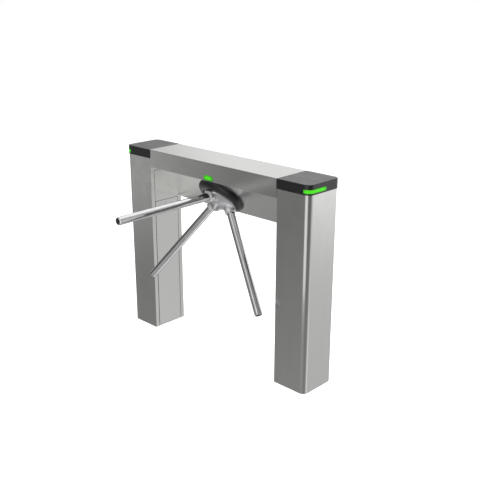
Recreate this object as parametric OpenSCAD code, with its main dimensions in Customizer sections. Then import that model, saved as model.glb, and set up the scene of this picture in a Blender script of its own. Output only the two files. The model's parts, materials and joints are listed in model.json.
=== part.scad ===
// Tripod turnstile: two floor-standing posts, a beam with a sloped lower front,
// and a motorised rotor whose three arms turn on an axis square to that slope.
// Origin: on the floor, midway between the posts. X runs along the beam, -Y is
// the passage side and +Z is up.

/* [Body] */
// Length over both posts
body_len = 1220; // [1180:5:1300]
// Depth from front to rear
body_d = 202; // [200:1:214]
// Height of the top face above the floor
body_h = 980; // [950:5:1040]

/* [Posts] */
// Width of one post along the beam
post_w = 182; // [176:1:200]
// Thickness of the post sheet
post_t = 2; // [1.5:0.1:2.5]
// Radius of the two outer vertical corners
post_corner_r = 26; // [20:1:36]
// Width of the strips beside the door
strip_w = 25; // [23:0.5:30]
// Thickness of the base plate
base_t = 8; // [6:0.5:10]
// Anchor hole spacing in one post, along the beam
anchor_x = 110; // [96:1:118]
// Anchor hole spacing in one post, front to rear
anchor_y = 130; // [110:1:140]
// Anchor hole diameter
anchor_d = 14; // [12:0.5:16]
// Cable entry diameter in the base plate
cable_d = 50; // [30:1:60]

/* [Doors and panels] */
// Thickness of the door and panel sheet
door_t = 1.5; // [1.2:0.1:2]
// Gap round a door or a panel
door_gap = 1.5; // [1.2:0.1:2]
// Gap on the hinge side
hinge_gap = 2; // [1.9:0.1:2.4]

/* [Caps] */
// Height of the black cap on each post
cap_h = 45; // [40:1:55]
// How far the cap stands out past the post
cap_over = 3; // [2:0.5:4]
// Wall of the cap
cap_t = 3; // [2.5:0.1:3.5]
// Height of the light strip
light_h = 17; // [14:1:24]
// Length of the light strip on the outer face
light_side = 82; // [50:1:100]
// Length of the light strip on the front face
light_front = 5; // [3:1:40]

/* [Beam] */
// Height of the upright band at the front
band_h = 89; // [86:1:94]
// Width of the flat bottom behind the slope
bottom_w = 14; // [10:0.5:20]
// Thickness of the beam sheet
beam_t = 1.5; // [1.2:0.1:2]
// Slope of the lower front, from the floor plane
tilt = 45; // [44:0.5:46]

/* [Rotor] */
// Place of the rotor axis, as a share of the slope from its upper edge
axis_share = 0.4837; // [0.47:0.0001:0.49]
// Depth behind the slope at which the arm centre lines meet
apex_depth = 24.5; // [20:0.5:30]
// Angle between an arm and the rotor axis
arm_angle = 44.2; // [43:0.1:47]
// Distance from the meeting point to an arm's tip
arm_reach = 634; // [560:1:660]
// Arm tube diameter
arm_d = 38; // [34:0.5:40]
// Wall of the arm tube
arm_t = 2; // [1.5:0.1:3]
// Radius of the hub's base
hub_r = 90; // [88:0.5:91]
// Height of the hub's nose above the slope
hub_h = 76; // [72:1:84]

/* [Bezel and indicator] */
// Outer radius of the black bezel
bezel_r = 122; // [118:0.5:126]
// Height of the bezel above the slope
bezel_h = 26; // [20:0.5:30]
// Running gap between hub and bezel
bezel_gap = 2; // [1:0.5:4]
// Width of the indicator lens
lens_w = 59; // [50:1:80]
// Height of the indicator lens
lens_h = 23; // [18:1:36]

/* [Drive] */
// Tooth size of the gears
gear_m = 2; // [1.9:0.05:2]
// Teeth on the rotor gear
gear_n = 54; // [51:3:54]
// Teeth on the motor pinion
motor_n = 20; // [18:1:20]
// Teeth on the encoder pinion
encoder_n = 24; // [20:1:24]
// Radius of the index disc
disc_r = 54; // [50:0.5:54]
// Number of notches in the index disc
notch_n = 6; // [6:6:6]
// Travel of a lock bolt
bolt_travel = 9; // [6:0.5:10]
// Radius of a lock bolt
bolt_r = 6; // [5:0.5:7]
// Radius of the rotor shaft in its bearings
shaft_r = 20; // [18:0.5:20]

/* [Hidden] */
$fn = 48;

// Shared fits and overruns
over = 1;
slip = 0.3;
run_fit = 0.05;
bend_steps = 8;
corner_steps = 16;
slice = 0.01;
sheet_bend_r = 3;

// Main places
half_len = body_len / 2;
half_d = body_d / 2;
post_in_x = half_len - post_w;
post_mid_x = half_len - post_w / 2;
cap_z = body_h - cap_h;
band_z = body_h - band_h;
slope_run = body_d - bottom_w;
slope_l = slope_run / cos(tilt);
beam_z = band_z - slope_run * tan(tilt);
slope_end_y = half_d - bottom_w;
strip_y = half_d - strip_w;

// Height of the slope's outer face at a given depth
function slope_z(y) = band_z - (y + half_d) * tan(tilt);

// Where the rotor axis crosses the slope
axis_drop = axis_share * slope_l;
axis_y = -half_d + axis_drop * cos(tilt);
axis_z = band_z - axis_drop * sin(tilt);

// Hinge of a door or panel: the pin sits behind the sheet so that the seam stays thin
hinge_e = 7;
hinge_f = 14;
hinge_eye_r = 5;
hinge_pin_r = 2.5;
hinge_w = 16;
ear_w = 6;
hinge_lip = 30;
hinge_leg = 6;
hinge_arm = 8;
lip = 8;

// Post doors
door_z0 = base_t + 2 * door_gap;
door_skirt_z = 2.5;
door_z1 = beam_z - door_gap;
door_flange = 9;
door_hinge_in = 110;
panel_z0 = beam_z + door_gap / 2;
panel_slip = 0.5;
joggle_w = 18;

// Quarter-turn locks
lock_head_r = 12;
lock_head_t = 2;
lock_r = 9.5;
lock_nut_r = 13;
lock_nut_t = 4;
cam_play = 1;
lock_depth = lip + cam_play;
plug_r = 6;
cam_t = 3;
cam_w = 16;
cam_tail = 8;
cam_catch = 8;
lock_in = 28;
key_w = 1.6;
key_l = 7;
key_depth = 4;

// Service panel at the rear of the beam
flange_top = 22;
flange_bottom = 15;
service_z0 = beam_z + flange_bottom + door_gap;
service_z1 = body_h - flange_top - hinge_gap;
service_x = post_in_x - door_gap;
service_lock_in = 126.5;
service_hinge_in = 96.5;
service_lock_x = service_x - service_lock_in;
service_hinge_x = service_x - service_hinge_in;

// Beam end brackets and their bolts
end_t = 3;
end_lip = 25;
end_lip_t = 2;
end_rear_y = half_d - hinge_lip - over;
end_bolt_r = 4;
end_bolt_head_r = 6.5;
end_bolt_head_h = 5;
end_bolt_l = 14;
end_hole_r = 20;
end_bolt_in = 18;
end_bolt_top = cap_z - 26;

// Caps and lights
cap_edge = 3;
spigot_h = 10;
spigot_t = 3;
light_z = cap_z + 7;
light_proud = 0.4;
board_x = 90;
board_y = 110;
board_t = 1.6;
board_boss_r = 4;
board_boss_h = 8;
board_in = 8;

// Bezel and indicator
bezel_up = 9;
bezel_curve = 30;
bezel_screw_r = 3;
bezel_screw_at = 104;
bezel_screw_depth = 10;
bezel_screw_head_r = 5.5;
bezel_screw_head_h = 4;
lens_corner_share = 0.45;
lens_proud = 3;
lens_in = 5;
lens_up = 1.5;

// Hub, in the rotor frame, where z is the height above the slope
hub_back = 3;
hub_side = 14;
hub_edge = 7;
hub_nose_r = 16;
hub_spigot_r = 45;
hub_spigot_h = 8;
socket_r = 27;
socket_lobe_r = 26;
socket_from = 72;
socket_to = 114;
socket_collar = 42;
socket_bevel = 3;
lobe_r = 44;
lobe_out = 42;
lobe_h = 18;
lobe_from = 62;
lobe_len = 34;
hub_bolt_r = 6;
hub_bolt_head_r = 9;
hub_bolt_head_h = 8;
hub_bolt_at = 40;
hub_bolt_in = 20;
hub_cap_t = 3;
hub_cap_in = 10;
arm_plug = 15;
arm_cap_l = 8;
arm_cap_bevel = 3;
arm_screw_r = 4;
arm_screw_s = 94;
arm_lead = 1.2;
arm_turns = [for (k = [0, -1, 1]) 120 * k - arm_lead];

// Mechanism, in the rotor frame, where the sheet's outer face is z = 0
plate_t = 8;
plate_x = 135;
plate_top_in = 13.6;
plate_low_in = 22.3;
plate_corner = 30;
opening_r = 52;
spigot_r = 46;
housing_r = 42;
housing_flange_r = 62;
housing_flange_t = 8;
housing_shoulder_r = 30;
housing_screw_at = 54;
housing_screw_r = 3;
bearing_r = 34;
bearing_w = 15;
bearing_race = 4;
bearing_groove = 1;
bearing_in = 2.5;
retainer_t = 3;
carrier_t = 6;
carrier_x = 125;
carrier_top = 135;
carrier_low = 70;
pillar_r = 8;
pillar_x = 110;
pillar_in = 20;
pillar_low = 58;
collar_r = 24;
rear_shaft_r = 17;
carrier_hole_r = collar_r + 2;
gear_w = 10;
gear_gap = 1;
gear_hub_r = 26;
gear_hub_h = 6;
disc_t = 8;
disc_gap = 4;
notch_depth = 9;
notch_slip = 0.4;
disc_hole_at = 34;
disc_hole_r = 6;
nut_t = 6;
nut_r = 22;
plate_top = axis_drop - plate_top_in;
plate_low = slope_l - axis_drop - plate_low_in;
pillar_top = plate_top - pillar_in;
plate_z = -beam_t - plate_t;

// The stack behind the slope ends where the index disc just clears the service panel
disc_panel_gap = 3.5;
disc_room = (half_d - door_t - disc_panel_gap - axis_y) / sin(tilt) - disc_r / tan(tilt);
housing_l = disc_room - disc_t - disc_gap - gear_w - gear_gap - carrier_t - retainer_t - beam_t;
housing_z = plate_z - housing_l + plate_t;
carrier_z = housing_z - retainer_t - carrier_t;
gear_z = carrier_z - gear_gap - gear_w;
disc_z = gear_z - disc_gap - disc_t;
disc_mid = disc_z + disc_t / 2;

// Gear pair places
pressure = 20;
backlash = 0.3;
gear_r = gear_m * gear_n / 2;
motor_at = gear_m * (gear_n + motor_n) / 2;
encoder_at = gear_m * (gear_n + encoder_n) / 2;
motor_angle = 165;
encoder_angle = 15;
pinion_shaft_r = 5;
pinion_bore_l = 20;
motor_r = 29;
motor_room = 11.5;
motor_face_r = 24;
motor_face_h = 3;
encoder_r = 18;
encoder_l = 30;
encoder_face_r = 12;

// Lock solenoids
solenoid_w = 32;
solenoid_l = 56;
solenoid_h = 38;
solenoid_at = disc_r + 18;
solenoid_frame = 3;
solenoid_bore_l = 48;
bolt_clear = 3;
bolt_l = 50;
bolt_fit = 0.1;
bolt_angles = [60, 120];
bolt_bevel = 5;

// Electronics in the posts
unit_w = 110;
unit_d = 40;
unit_h = 150;
unit_z = 380;
supply_w = 98;
supply_d = 42;
supply_h = 130;
vent_w = 3;
vent_step = 10;
vent_l = 60;
vent_depth = 2;

// Direction of a vector
function unit(v) = v / norm(v);

// Arc of radius r that rounds the corner p between the points a and b
function bend(p, a, b, r, n) =
    let (u = unit(a - p), v = unit(b - p), half = acos(u * v) / 2)
    let (c = p + unit(u + v) * r / sin(half), w = 180 - 2 * half)
    let (s = p + u * r / tan(half) - c, e = p + v * r / tan(half) - c)
    [for (i = [0:n]) c + (sin(w - w * i / n) * s + sin(w * i / n) * e) / sin(w)];

// The corner p moved inwards by t
function inset_corner(p, a, b, t) =
    let (u = unit(a - p), v = unit(b - p))
    p + unit(u + v) * t / sin(acos(u * v) / 2);

// Left-hand side of the direction from a to b, t long
function left(a, b, t) = let (d = unit(b - a)) [-d.y, d.x] * t;

// Joins a list of lists
function flat(lists) = [for (l = lists) for (p = l) p];

// Outline of a folded sheet whose outer face follows the points of path, which
// turns left at each of them. radii holds the outer bend radius of each corner.
function folded(path, t, radii) =
    let (n = len(path) - 1)
    let (inner = [for (i = [0:n])
        i == 0 ? path[0] + left(path[0], path[1], t)
        : i == n ? path[n] + left(path[n - 1], path[n], t)
        : inset_corner(path[i], path[i - 1], path[i + 1], t)])
    let (steps = [for (r = radii) r > sheet_bend_r ? corner_steps : bend_steps])
    concat(
        [path[0]],
        flat([for (i = [1:n - 1]) bend(path[i], path[i - 1], path[i + 1], radii[i - 1], steps[i - 1])]),
        [path[n], inner[n]],
        flat([for (i = [n - 1:-1:1]) bend(inner[i], inner[i + 1], inner[i - 1], radii[i - 1] - t, steps[i - 1])]),
        [inner[0]]
    );

// A box given by its lowest and highest corners
module block(low, high) {
    translate(low) cube(high - low);
}

// Draws the right-hand piece, or its mirror image for the left
module on_side(right) {
    if (right) children();
    else mirror([1, 0, 0]) children();
}

// Rotor frame: origin where the axis crosses the slope, z outwards along the axis
module at_rotor() {
    translate([0, axis_y, axis_z]) rotate([180 - tilt, 0, 0]) children();
}

// Frame of one arm: origin where the arms meet, z along the arm
module at_arm(turn) {
    translate([0, 0, -apex_depth]) rotate([-arm_angle, 0, -turn]) children();
}

// Post outline in plan, inset all round by g, with its two round outer corners
module post_outline(g, fn = 96) {
    r = post_corner_r - g;
    translate([post_in_x + g, -half_d + g]) square([post_w - post_corner_r - g, body_d - 2 * g]);
    translate([post_in_x + g, -half_d + post_corner_r]) square([post_w - 2 * g, body_d - 2 * post_corner_r]);
    for (y = [-1, 1]) translate([half_len - post_corner_r, y * (half_d - post_corner_r)]) circle(r, $fn = fn);
}

// Folded C-shaped post sheet, open towards the beam, with lips along the door
module post_shell(right) {
    path = [
        [post_in_x + lip, -strip_y], [post_in_x, -strip_y], [post_in_x, -half_d],
        [half_len, -half_d], [half_len, half_d],
        [post_in_x, half_d], [post_in_x, strip_y], [post_in_x + hinge_lip, strip_y]
    ];
    radii = [sheet_bend_r, sheet_bend_r, post_corner_r, post_corner_r, sheet_bend_r, sheet_bend_r];
    color("silver") on_side(right) difference() {
        linear_extrude(cap_z) polygon(folded(path, post_t, radii));
        block(
            [post_in_x + post_t, -strip_y - sheet_bend_r - over, panel_z0 - door_gap],
            [post_in_x + hinge_lip + over, strip_y + sheet_bend_r + over, cap_z + over]
        );
    }
}

// Floor plate with four anchor holes and the cable entry
module base_plate(right) {
    g = post_t + slip;
    color("dimgray") on_side(right) difference() {
        linear_extrude(base_t) post_outline(g);
        for (x = [-1, 1], y = [-1, 1])
            translate([post_mid_x + x * anchor_x / 2, y * anchor_y / 2, -over])
                cylinder(d = anchor_d, h = base_t + 2 * over);
        translate([post_mid_x, 0, -over]) cylinder(d = cable_d, h = base_t + 2 * over);
        for (y = [-1, 1]) block(
            [post_in_x, y * (strip_y + post_t / 2) - post_t / 2 - slip, -over],
            [post_in_x + (y > 0 ? hinge_lip : lip) + slip, y * (strip_y + post_t / 2) + post_t / 2 + slip, base_t + over]
        );
        block(
            [post_in_x, strip_y - hinge_gap - hinge_f - door_gap, -over],
            [post_in_x + hinge_e + hinge_f + door_gap, strip_y, base_t + over]
        );
    }
}

// Places of the bolts between beam end and post, as [y, z]
end_bolts = [
    [-half_d + beam_t + end_lip_t + 2 * end_bolt_in, end_bolt_top],
    [end_rear_y - end_bolt_in, end_bolt_top],
    [end_rear_y - end_bolt_in, slope_z(end_rear_y - end_bolt_in) + 2 * end_bolt_in],
    [0, slope_z(0) + 2 * end_bolt_in]
];
end_hole = [(end_bolts[0].x + end_bolts[1].x) / 2, end_bolt_top - end_bolt_in];

// Fixed panel above the door, joggled behind the strips, that carries the beam
module upper_panel(right) {
    w = strip_y - panel_slip;
    color("silver") on_side(right) difference() {
        union() {
            block([post_in_x, -w, panel_z0], [post_in_x + post_t, w, cap_z - slip]);
            for (y = [-1, 1]) {
                a = y * (w - post_t);
                b = y * (strip_y + joggle_w);
                block(
                    [post_in_x + post_t, min(a, b), panel_z0 + post_t],
                    [post_in_x + 2 * post_t, max(a, b), cap_z - slip]
                );
            }
            block([post_in_x, -w, panel_z0], [post_in_x + lip, w, panel_z0 + post_t]);
        }
        for (p = end_bolts)
            translate([post_in_x - over, p.x, p.y]) rotate([0, 90, 0])
                cylinder(r = end_bolt_r + slip, h = 2 * post_t + 2 * over);
        translate([post_in_x - over, end_hole.x, end_hole.y]) rotate([0, 90, 0])
            cylinder(r = end_hole_r, h = 2 * post_t + 2 * over);
    }
}

// Hinge frame of a panel: x is the depth behind its outer face, y the distance
// past its hinged edge and z runs along the pin
module hinge_bracket() {
    translate([0, 0, -hinge_w / 2]) linear_extrude(hinge_w) {
        translate([hinge_lip - hinge_leg, -hinge_f - hinge_arm / 2])
            square([hinge_leg, hinge_f + hinge_gap + hinge_arm / 2]);
        translate([hinge_e, -hinge_f - hinge_arm / 2]) square([hinge_lip - hinge_e, hinge_arm]);
        translate([hinge_e, -hinge_f]) circle(hinge_eye_r);
    }
    translate([hinge_e, -hinge_f, -hinge_w / 2 - slip - ear_w])
        cylinder(r = hinge_pin_r, h = hinge_w + 2 * slip + 2 * ear_w);
}

// The panel's two ears round one pin
module hinge_ears() {
    for (s = [-1, 1]) translate([0, 0, s * (hinge_w / 2 + slip + ear_w / 2) - ear_w / 2])
        linear_extrude(ear_w) difference() {
            union() {
                translate([hinge_e, -hinge_f]) circle(hinge_eye_r);
                translate([door_t - over / 2, -hinge_f - hinge_eye_r])
                    square([hinge_e - door_t + over / 2, 2 * hinge_eye_r]);
            }
            translate([hinge_e, -hinge_f]) circle(hinge_pin_r + run_fit);
        }
}

// Heights of the two hinges of a post door, and places along the beam of the panel's
door_hinge_z = [door_z0 + door_hinge_in, door_z1 - door_hinge_in];
module door_hinge_frames() {
    for (z = door_hinge_z) translate([post_in_x, strip_y - hinge_gap, z]) children();
}
module service_hinge_frames() {
    for (x = [-1, 1]) translate([x * service_hinge_x, half_d, service_z1]) rotate([90, 0, -90]) children();
}

// Frame of a lock: z outwards, y towards what its cam catches
module at_door_lock() {
    translate([post_in_x, 0, door_z1 - lock_in]) rotate([90, 0, -90]) children();
}
module at_service_lock(side) {
    translate([side * service_lock_x, half_d, service_z0 + lock_in]) rotate([-90, 0, 0]) children();
}

// Door of one post, folded back along three edges, with a skirt that hides the base plate
module post_door(right) {
    y0 = -strip_y + door_gap;
    y1 = strip_y - hinge_gap;
    color("silver") on_side(right) difference() {
        union() {
            block([post_in_x, y0, door_skirt_z], [post_in_x + door_t, y1, door_z1]);
            block([post_in_x, y0, door_z0], [post_in_x + door_flange, y0 + door_t, door_z1]);
            block([post_in_x, y0, door_z0], [post_in_x + door_flange, y1, door_z0 + door_t]);
            block([post_in_x, y0, door_z1 - door_t], [post_in_x + door_flange, y1, door_z1]);
            door_hinge_frames() hinge_ears();
        }
        at_door_lock() translate([0, 0, -door_t - over])
            cylinder(r = lock_r + slip, h = door_t + 2 * over);
    }
}

// Lock barrel with its head outside and its nut behind the sheet
module lock_barrel() {
    difference() {
        union() {
            cylinder(r = lock_head_r, h = lock_head_t);
            translate([0, 0, -lock_depth + slip]) cylinder(r = lock_r, h = lock_depth);
            translate([0, 0, -door_t - lock_nut_t]) cylinder(r = lock_nut_r, h = lock_nut_t, $fn = 6);
        }
        translate([0, 0, -lock_depth - over])
            cylinder(r = plug_r + run_fit, h = lock_depth + lock_head_t + 2 * over);
    }
}

// Turning plug with the key slot and the cam, at rest off the catch
module lock_cam() {
    reach = lock_in + door_gap + post_t + cam_catch;
    difference() {
        translate([0, 0, -lock_depth - cam_t]) cylinder(r = plug_r, h = lock_depth + cam_t + lock_head_t);
        translate([-key_l / 2, -key_w / 2, lock_head_t - key_depth]) cube([key_l, key_w, key_depth + over]);
    }
    translate([-cam_tail, -cam_w / 2, -lock_depth - cam_t]) cube([reach + cam_tail, cam_w, cam_t]);
}

// Folded beam sheet: top, band, slope and bottom, open to the rear
module beam_shell() {
    path = [
        [half_d - hinge_lip, body_h - flange_top], [half_d, body_h - flange_top], [half_d, body_h],
        [-half_d, body_h], [-half_d, band_z], [slope_end_y, beam_z],
        [half_d, beam_z], [half_d, beam_z + flange_bottom], [half_d - lip, beam_z + flange_bottom]
    ];
    radii = [for (i = [1:len(path) - 2]) sheet_bend_r];
    color("silver") difference() {
        rotate([90, 0, 90]) translate([0, 0, -post_in_x])
            linear_extrude(2 * post_in_x) polygon(folded(path, beam_t, radii));
        at_rotor() {
            translate([0, 0, -beam_t - over]) cylinder(r = opening_r, h = beam_t + 2 * over, $fn = 96);
            bezel_screw_places() translate([0, 0, -beam_t - over])
                cylinder(r = bezel_screw_r + slip, h = beam_t + 2 * over);
        }
        translate([0, -half_d + beam_t + over, 0]) rotate([90, 0, 0])
            linear_extrude(beam_t + 2 * over) lens_outline(slip);
    }
}

// Bracket in each end of the beam, a tray bolted to the post's upper panel
module end_outline(g) {
    front_y = -half_d + g;
    polygon([
        [front_y, body_h - g], [front_y, slope_z(front_y) + g / cos(tilt)],
        [end_rear_y - g, slope_z(end_rear_y - g) + g / cos(tilt)], [end_rear_y - g, body_h - g]
    ]);
}
module beam_end(right) {
    g = beam_t + slip;
    color("gray") on_side(right) difference() {
        translate([post_in_x - end_lip, 0, 0]) rotate([90, 0, 90]) linear_extrude(end_lip) end_outline(g);
        translate([post_in_x - end_lip - over, 0, 0]) rotate([90, 0, 90])
            linear_extrude(end_lip - end_t + over) end_outline(g + end_lip_t);
        for (p = end_bolts)
            translate([post_in_x - end_t - over, p.x, p.y]) rotate([0, 90, 0])
                cylinder(r = end_bolt_r + slip, h = end_t + 2 * over);
        translate([post_in_x - end_t - over, end_hole.x, end_hole.y]) rotate([0, 90, 0])
            cylinder(r = end_hole_r, h = end_t + 2 * over);
    }
}
module beam_bolts() {
    color("lightgray") for (right = [false, true]) on_side(right) for (p = end_bolts)
        translate([post_in_x - end_t, p.x, p.y]) rotate([0, 90, 0]) {
            cylinder(r = end_bolt_r, h = end_bolt_l);
            translate([0, 0, -end_bolt_head_h]) cylinder(r = end_bolt_head_r, h = end_bolt_head_h, $fn = 6);
            translate([0, 0, end_t + 2 * post_t]) cylinder(r = end_bolt_head_r, h = end_bolt_head_h, $fn = 6);
        }
}

// Rear service panel of the beam, hung from its top edge
module service_panel() {
    y1 = half_d;
    color("silver") difference() {
        union() {
            block([-service_x, y1 - door_t, service_z0], [service_x, y1, service_z1]);
            block([-service_x, y1 - door_flange, service_z0], [service_x, y1, service_z0 + door_t]);
            for (x = [-service_x, service_x - door_t])
                block([x, y1 - door_flange, service_z0], [x + door_t, y1, service_z1]);
            service_hinge_frames() hinge_ears();
        }
        for (side = [-1, 1]) at_service_lock(side) translate([0, 0, -door_t - over])
            cylinder(r = lock_r + slip, h = door_t + 2 * over);
    }
}
module hinge_brackets() {
    color("gray") {
        for (right = [false, true]) on_side(right) door_hinge_frames() hinge_bracket();
        service_hinge_frames() hinge_bracket();
    }
}

// Zone of the light strip at the outer front corner of the cap, in plan
module light_zone(g) {
    corner = post_corner_r + cap_over;
    translate([half_len + cap_over - corner - light_front - g, -half_d - cap_over - over])
        square([corner + light_front + over + 2 * g, corner + light_side + over + g]);
}

// Black cap of one post, with a spigot inside the post and a slot for the light
module cap_outline(g, fn = 96) {
    difference() {
        post_outline(g - cap_over, fn);
        translate([post_in_x - body_len, -body_d]) square([body_len + max(g, 0), 2 * body_d]);
    }
}
module cap(right) {
    color([0.1, 0.1, 0.11]) on_side(right) {
        difference() {
            union() {
                translate([0, 0, cap_z]) linear_extrude(cap_h - cap_edge) cap_outline(0);
                hull() for (a = [0:30:90])
                    translate([0, 0, body_h - cap_edge + (cap_edge - slice) * sin(a)])
                        linear_extrude(slice) cap_outline(cap_edge * (1 - cos(a)), 32);
            }
            translate([0, 0, cap_z - over]) linear_extrude(cap_h - cap_t + over) cap_outline(cap_t + cap_over);
            translate([0, 0, light_z - slip]) linear_extrude(light_h + 2 * slip) difference() {
                light_zone(slip);
                post_outline(cap_t + over);
            }
        }
        translate([0, 0, cap_z - spigot_h]) linear_extrude(spigot_h + over) difference() {
            post_outline(2 * post_t + slip);
            post_outline(2 * post_t + slip + spigot_t);
        }
        for (x = [-1, 1], y = [-1, 1])
            translate([
                post_mid_x + x * (board_x / 2 - board_in), y * (board_y / 2 - board_in),
                body_h - cap_t - board_boss_h
            ]) cylinder(r = board_boss_r, h = board_boss_h + cap_t / 2);
    }
}
module cap_light(right) {
    color([0.25, 0.95, 0.15]) on_side(right) translate([0, 0, light_z])
        linear_extrude(light_h) intersection() {
            difference() {
                cap_outline(-light_proud);
                post_outline(cap_t - cap_over);
            }
            light_zone(0);
        }
}
module reader_boards() {
    color("green") for (right = [false, true]) on_side(right)
        translate([post_mid_x - board_x / 2, -board_y / 2, body_h - cap_t - board_boss_h - board_t])
            cube([board_x, board_y, board_t]);
}

// Bezel: a domed ring set a little up-slope, so that it carries over the fold
module bezel() {
    inner_r = hub_r + bezel_gap;
    dome = [for (i = [0:corner_steps]) let (a = 90 * i / corner_steps)
        [bezel_r - bezel_curve * (1 - cos(a)), bezel_h * sin(a)]];
    color([0.12, 0.12, 0.13]) difference() {
        at_rotor() difference() {
            translate([0, bezel_up, 0]) rotate_extrude($fn = 96)
                polygon(concat([[0, 0]], dome, [[0, bezel_h]]));
            translate([0, 0, -over]) cylinder(r = inner_r, h = bezel_h + 2 * over, $fn = 96);
            bezel_screw_places() translate([0, 0, -over])
                cylinder(r = bezel_screw_r + run_fit, h = bezel_screw_depth + over);
        }
        block([-bezel_r, -half_d, band_z - over], [bezel_r, half_d, body_h]);
    }
}
module bezel_screw_places() {
    for (a = [45:90:315]) rotate(a) translate([bezel_screw_at, 0, 0]) children();
}
module bezel_screws() {
    color("lightgray") at_rotor() bezel_screw_places() {
        translate([0, 0, plate_z]) cylinder(r = bezel_screw_r, h = bezel_screw_depth - slip - plate_z);
        translate([0, 0, plate_z - bezel_screw_head_h])
            cylinder(r = bezel_screw_head_r, h = bezel_screw_head_h, $fn = 6);
    }
}

// Indicator lens on the band, square below and round above
module lens_outline(g) {
    w = lens_w + 2 * g;
    h = lens_h + 2 * g;
    z = band_z + sheet_bend_r + lens_up - g;
    r = lens_corner_share * lens_h + g;
    translate([-w / 2, z]) square([w, h - r]);
    translate([-w / 2 + r, z]) square([w - 2 * r, h]);
    for (x = [-1, 1]) translate([x * (w / 2 - r), z + h - r]) circle(r);
}
module indicator_lens() {
    color([0.25, 0.95, 0.15]) translate([0, -half_d + lens_in, 0]) rotate([90, 0, 0])
        linear_extrude(lens_in + lens_proud) lens_outline(0);
}

// Hub: a bell-shaped core with three lobes that end in sockets
module hub() {
    mouth = hub_back + hub_side + hub_edge;
    shoulder = hub_r - hub_edge;
    edge = [for (i = [0:bend_steps]) let (a = 90 * i / bend_steps)
        [shoulder + hub_edge * cos(a), mouth - hub_edge + hub_edge * sin(a)]];
    bell = [for (i = [1:corner_steps]) let (a = 90 * i / corner_steps)
        [shoulder - (shoulder - hub_nose_r) * sin(a), hub_h - (hub_h - mouth) * cos(a)]];
    color("gainsboro") at_rotor() difference() {
        union() {
            rotate_extrude($fn = 96) polygon(concat([[0, hub_back], [hub_r, hub_back]], edge, bell, [[0, hub_h]]));
            for (turn = arm_turns) {
                hull() {
                    at_arm(turn) translate([0, 0, lobe_from]) cylinder(r = socket_lobe_r, h = lobe_len, $fn = 32);
                    rotate(-turn) translate([0, lobe_out, hub_back]) cylinder(r = lobe_r, h = lobe_h, $fn = 32);
                }
                at_arm(turn) {
                    translate([0, 0, socket_to - socket_collar])
                        cylinder(r = socket_r, h = socket_collar - socket_bevel);
                    translate([0, 0, socket_to - socket_bevel])
                        cylinder(r1 = socket_r, r2 = socket_r - socket_bevel, h = socket_bevel);
                }
            }
        }
        translate([0, 0, hub_back - 2 * hub_r]) cylinder(r = 2 * hub_r, h = 2 * hub_r);
        translate([0, 0, hub_back - over])
            cylinder(r = hub_spigot_r + slip, h = hub_spigot_h + over, $fn = 96);
        cylinder(r = hub_bolt_r + slip, h = hub_h);
        translate([0, 0, hub_bolt_at]) cylinder(r = hub_bolt_head_r + over, h = hub_h);
        for (turn = arm_turns) at_arm(turn) {
            translate([0, 0, socket_from - slip]) cylinder(r = arm_d / 2 + slip / 3, h = socket_to);
            translate([0, 0, arm_screw_s]) rotate([-90, 0, 0]) cylinder(r = arm_screw_r + run_fit, h = socket_r + over);
        }
    }
}
module hub_bolt() {
    color("gray") at_rotor() {
        translate([0, 0, -hub_bolt_in]) cylinder(r = hub_bolt_r, h = hub_bolt_at + hub_bolt_in);
        translate([0, 0, hub_bolt_at]) cylinder(r = hub_bolt_head_r, h = hub_bolt_head_h, $fn = 6);
    }
}
module hub_cap() {
    plug = hub_bolt_head_r + over - run_fit;
    dome = [for (i = [0:bend_steps]) let (a = 90 * i / bend_steps)
        [hub_nose_r * cos(a), hub_h + hub_cap_t * sin(a)]];
    color("gainsboro") at_rotor() rotate_extrude($fn = 96)
        polygon(concat([[0, hub_h - hub_cap_in], [plug, hub_h - hub_cap_in], [plug, hub_h]], dome));
}

// Arms: tubes with a bevelled cap, each held by a screw from the underside
module arm(turn) {
    color("gainsboro") at_rotor() at_arm(turn) difference() {
        translate([0, 0, socket_from]) cylinder(d = arm_d, h = arm_reach - arm_cap_l - socket_from, $fn = 64);
        translate([0, 0, socket_from - over])
            cylinder(r = arm_d / 2 - arm_t, h = arm_reach, $fn = 64);
        translate([0, 0, arm_screw_s]) rotate([-90, 0, 0]) cylinder(r = arm_screw_r + run_fit, h = arm_d);
    }
}
module arm_caps() {
    color("gainsboro") at_rotor() for (turn = arm_turns) at_arm(turn) {
        translate([0, 0, arm_reach - arm_cap_l - arm_plug])
            cylinder(r = arm_d / 2 - arm_t - run_fit, h = arm_plug, $fn = 64);
        translate([0, 0, arm_reach - arm_cap_l]) cylinder(d = arm_d, h = arm_cap_l - arm_cap_bevel, $fn = 64);
        translate([0, 0, arm_reach - arm_cap_bevel])
            cylinder(r1 = arm_d / 2, r2 = arm_d / 2 - arm_cap_bevel, h = arm_cap_bevel, $fn = 64);
    }
}
module arm_screws() {
    from = arm_d / 2 - arm_t;
    color("gray") at_rotor() for (turn = arm_turns) at_arm(turn)
        translate([0, 0, arm_screw_s]) rotate([-90, 0, 0]) translate([0, 0, from])
            cylinder(r = arm_screw_r, h = socket_r - from - over);
}

// Mechanism plate behind the slope
module mech_plate() {
    color("slategray") at_rotor() translate([0, 0, plate_z]) difference() {
        linear_extrude(plate_t) polygon([
            [-plate_x, -plate_low + plate_corner], [-plate_x + plate_corner, -plate_low],
            [plate_x - plate_corner, -plate_low], [plate_x, -plate_low + plate_corner],
            [plate_x, plate_top], [-plate_x, plate_top]
        ]);
        translate([0, 0, -over]) cylinder(r = spigot_r + run_fit, h = plate_t + 2 * over, $fn = 96);
        bezel_screw_places() translate([0, 0, -over])
            cylinder(r = bezel_screw_r + slip, h = plate_t + 2 * over);
    }
}

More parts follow.
